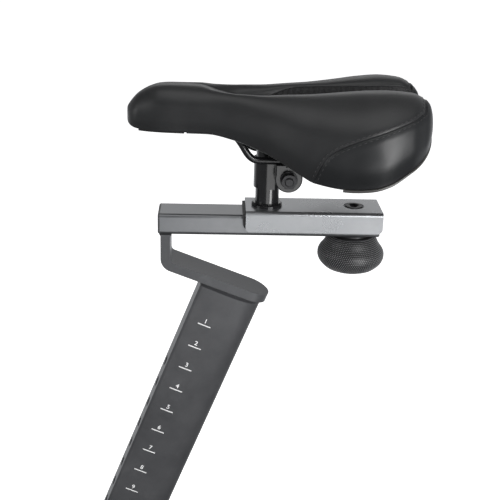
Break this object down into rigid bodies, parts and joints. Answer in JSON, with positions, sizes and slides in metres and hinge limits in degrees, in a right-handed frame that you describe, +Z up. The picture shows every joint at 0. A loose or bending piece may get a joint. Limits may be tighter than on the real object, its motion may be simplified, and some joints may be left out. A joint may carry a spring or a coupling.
{
  "type": "exercise bike saddle assembly",
  "caption": "Padded exercise bike saddle on a tilting clip, fore-and-aft slide with knob, bent neck bracket and numbered height post.",
  "frame": {"origin": "centre of the height post's lower end, on the post's axis", "axes": "+Z up, +X towards the back of the bike, +Y to the rider's right"},
  "size_m": [0.3255, 0.18, 0.5428],
  "materials": {
    "post_paint": "fine textured satin powder coat, charcoal",
    "slide_paint": "satin powder coat, dark grey",
    "slide_cap": "moulded, satin",
    "black_plastic": "moulded, matt",
    "black_steel": "black oxide, oiled",
    "gloss_black_steel": "gloss black enamel",
    "zinc_steel": "zinc plated",
    "brass": "turned",
    "knob_plastic": "moulded with fine raised dots",
    "cover_leather": "smooth synthetic leather, soft sheen",
    "panel_leather": "smooth synthetic leather with a carbon-like sheen",
    "foam": "open cell foam",
    "base_plastic": "moulded, satin",
    "stitching": "bonded polyester thread",
    "scale_print": "white screen print"
  },
  "bodies": {
    "post": {"seat_post": "post_paint", "post_end_plug": "black_plastic", "neck_bracket": "post_paint", "post_weld": "post_paint", "rail_weld": "post_paint", "slide_rail": "slide_paint", "rail_cap_front": "slide_cap", "rail_cap_back": "slide_cap"},
    "sleeve": {"slide_sleeve": "slide_paint", "slide_liner": "black_plastic", "clamp_bolt": "black_steel", "stem": "gloss_black_steel", "stem_collar": "gloss_black_steel", "stem_plug": "black_plastic"},
    "washer": {"knob_washer": "black_steel"},
    "knob": {"clamp_knob": "knob_plastic", "knob_insert": "brass"},
    "clip": {"clip_strap": "gloss_black_steel", "cross_stud": "black_steel", "tooth_disc_left": "gloss_black_steel", "tooth_disc_right": "gloss_black_steel", "cheek_washer_left": "black_steel", "cheek_washer_right": "black_steel", "stud_nut_left": "black_steel", "stud_nut_right": "black_steel"},
    "cheeks": {"cradle_left": "gloss_black_steel", "cradle_right": "gloss_black_steel", "cheek_left": "gloss_black_steel", "cheek_right": "gloss_black_steel"},
    "saddle": {"saddle_rail_left": "gloss_black_steel", "saddle_rail_right": "gloss_black_steel", "saddle_base": "base_plastic", "saddle_foam": "foam", "saddle_cover": "cover_leather", "cover_panel_left": "panel_leather", "cover_panel_right": "panel_leather", "nose_plate": "base_plastic"}
  },
  "joints": [
    {"name": "saddle_slide", "type": "slide", "parent": "post", "child": "sleeve", "axis": [1, 0, 0], "range_m": [-0.075, 0.01]},
    {"name": "knob_washer_drop", "type": "slide", "parent": "sleeve", "child": "washer", "axis": [0, 0, -1], "range_m": [0, 0.0046]},
    {"name": "knob_turn", "type": "hinge", "parent": "washer", "child": "knob", "pos_m": [0.24084, 0, 0.37302], "axis": [0, 0, -1], "range_deg": [0, 1080]},
    {"name": "saddle_turn", "type": "hinge", "parent": "sleeve", "child": "clip", "pos_m": [0.15854, 0, 0.44302], "axis": [0, 0, 1], "range_deg": [-30, 30]},
    {"name": "saddle_tilt", "type": "hinge", "parent": "clip", "child": "cheeks", "pos_m": [0.17604, 0, 0.44602], "axis": [0, 1, 0], "range_deg": [-12, 12]},
    {"name": "rail_shift", "type": "slide", "parent": "cheeks", "child": "saddle", "axis": [1, 0, 0], "range_m": [-0.012, 0.012]}
  ],
  "couplings": [
    {"joint": "knob_washer_drop", "follows": "knob_turn", "m_per_rad": 0.00023873}
  ]
}
